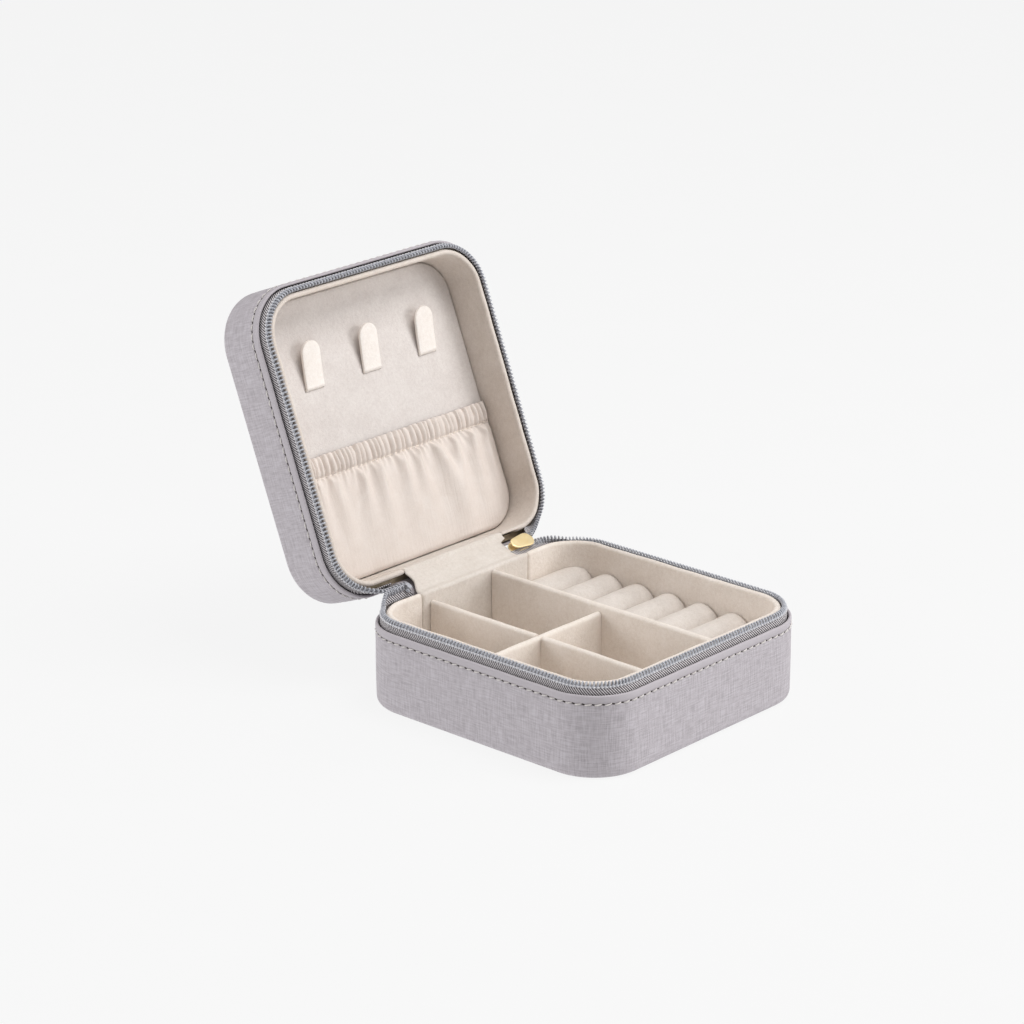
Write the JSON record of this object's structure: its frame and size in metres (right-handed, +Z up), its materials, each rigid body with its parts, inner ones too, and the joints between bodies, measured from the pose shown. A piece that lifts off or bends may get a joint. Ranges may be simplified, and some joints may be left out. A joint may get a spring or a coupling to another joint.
{
  "type": "travel jewelry case",
  "caption": "Square zip-around jewellery case, open: a divided velvet-lined base with ring rolls, and a lid with hooks and a gathered pocket, on a fabric hinge.",
  "frame": {"origin": "centre of the base's underside, on the surface that the case stands on", "axes": "+Z up, +Y towards the hinge, +X towards the ring rolls (right, seen from the front)"},
  "size_m": [0.1002, 0.1592, 0.1211],
  "materials": {
    "cover": "linen-embossed matt",
    "board": "plain",
    "velvet": "flocked velvet",
    "roll_velvet": "flocked velvet over soft foam",
    "pocket_velvet": "gathered velvet",
    "elastic": "woven elastic",
    "zip_tape": "herringbone woven",
    "zip_coil": "nylon coil",
    "thread": "twisted thread",
    "gold": "polished light gold plate"
  },
  "bodies": {
    "base": {"base_cover": "cover", "base_bottom_board": "board", "base_wall_board": "board", "base_lining": "velvet", "base_floor": "velvet", "divider_tall": "velvet", "divider_low": "velvet", "divider_cross": "velvet", "ring_roll_1": "roll_velvet", "ring_roll_2": "roll_velvet", "ring_roll_3": "roll_velvet", "ring_roll_4": "roll_velvet", "ring_roll_5": "roll_velvet", "ring_roll_6": "roll_velvet", "ring_roll_7": "roll_velvet", "base_zip_tape": "zip_tape", "base_zip_coil": "zip_coil", "base_stitching": "thread", "zip_stops": "zip_coil", "hinge_spine": "cover", "hinge_lining": "velvet"},
    "lid": {"lid_cover": "cover", "lid_top_board": "board", "lid_wall_board": "board", "lid_lining": "velvet", "lid_panel": "velvet", "hook_left": "velvet", "hook_centre": "velvet", "hook_right": "velvet", "pocket": "pocket_velvet", "pocket_elastic": "elastic", "lid_zip_tape": "zip_tape", "lid_zip_coil": "zip_coil", "lid_stitching": "thread"},
    "slider": {"zip_slider": "gold"},
    "pull": {"zip_pull": "gold"}
  },
  "joints": [
    {"name": "lid_hinge", "type": "hinge", "parent": "base", "child": "lid", "pos_m": [0, 0.0519, 0.028], "axis": [-1, 0, 0], "range_deg": [-111.5, 0], "deforming": ["hinge_spine", "hinge_lining"]},
    {"name": "slider_swing", "type": "hinge", "parent": "base", "child": "slider", "pos_m": [0, 0.04985, 0.0282], "axis": [-1, 0, 0], "range_deg": [-60, 0]},
    {"name": "pull_swing", "type": "hinge", "parent": "slider", "child": "pull", "pos_m": [0.0254, 0.05205, 0.02699], "axis": [0, 0.866, 0.5], "range_deg": [-80, 80]}
  ],
  "couplings": [
    {"joint": "slider_swing", "follows": "lid_hinge", "ratio": 0.538}
  ]
}
